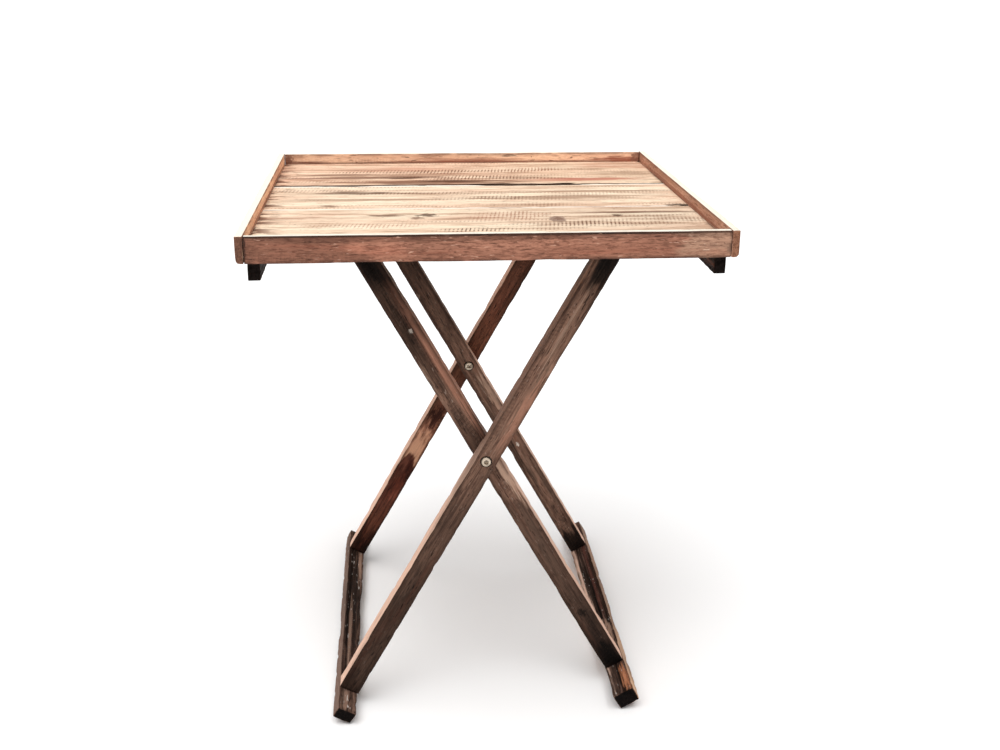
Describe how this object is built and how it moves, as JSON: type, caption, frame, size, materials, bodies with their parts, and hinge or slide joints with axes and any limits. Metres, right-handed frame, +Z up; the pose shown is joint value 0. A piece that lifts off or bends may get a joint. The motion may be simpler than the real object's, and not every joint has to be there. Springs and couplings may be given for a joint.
{
  "type": "folding side table",
  "caption": "Square wooden tray table on two crossed leg frames that fold about bolted pivots, with a raised rim, plank top and splayed foot bars",
  "frame": {"origin": "On the floor under the middle of the tray, midway between the feet", "axes": "+X along the planks, towards the right foot bar; +Y from front to back along the foot bars; +Z up"},
  "size_m": [0.5, 0.5, 0.578],
  "materials": {
    "plank_wood": "sawn and sanded, pale with grey and red-brown streaks",
    "rim_wood": "planed, oiled red-brown",
    "batten_wood": "rough sawn, dark stained",
    "leg_wood": "weathered grey-brown with paler edges",
    "foot_wood": "weathered, split and dark stained",
    "zinc_steel": "bright zinc plated",
    "fixing_steel": "dull black-oxide screws and nails"
  },
  "bodies": {
    "tray": {"board_front": "plank_wood", "board_middle": "plank_wood", "board_back": "plank_wood", "rim_front": "rim_wood", "rim_back": "rim_wood", "rim_left": "rim_wood", "rim_right": "rim_wood", "batten_left": "batten_wood", "batten_right": "batten_wood", "hinge_cheek_front": "batten_wood", "hinge_cheek_back": "batten_wood", "stop_cleat": "batten_wood", "board_screws": "fixing_steel", "block_screws": "fixing_steel", "rim_nails": "fixing_steel"},
    "hinge_rod": {"hinge_rod": "zinc_steel", "hinge_rod_caps": "zinc_steel"},
    "inner_frame": {"inner_leg_front": "leg_wood", "inner_leg_back": "leg_wood", "inner_foot_bar": "foot_wood", "inner_foot_screws": "fixing_steel"},
    "outer_frame": {"outer_leg_front": "leg_wood", "outer_leg_back": "leg_wood", "outer_foot_bar": "foot_wood", "outer_top_bar": "leg_wood", "outer_foot_screws": "fixing_steel", "pivot_bolt_front": "zinc_steel", "pivot_bolt_back": "zinc_steel", "pivot_nuts": "zinc_steel", "pivot_washers": "zinc_steel", "pivot_spacers": "zinc_steel"}
  },
  "joints": [
    {"name": "stand_swing", "type": "hinge", "parent": "tray", "child": "hinge_rod", "pos_m": [-0.12859, 0, 0.536], "axis": [0, 1, 0], "range_deg": [0, 81]},
    {"name": "inner_frame_turn", "type": "hinge", "parent": "hinge_rod", "child": "inner_frame", "pos_m": [-0.12859, 0, 0.536], "axis": [0, 1, 0], "range_deg": [0, 26]},
    {"name": "legs_fold", "type": "hinge", "parent": "inner_frame", "child": "outer_frame", "pos_m": [0, 0, 0.30639], "axis": [0, -1, 0], "range_deg": [0, 52]}
  ],
  "couplings": [
    {"joint": "inner_frame_turn", "follows": "legs_fold", "ratio": 0.5}
  ]
}
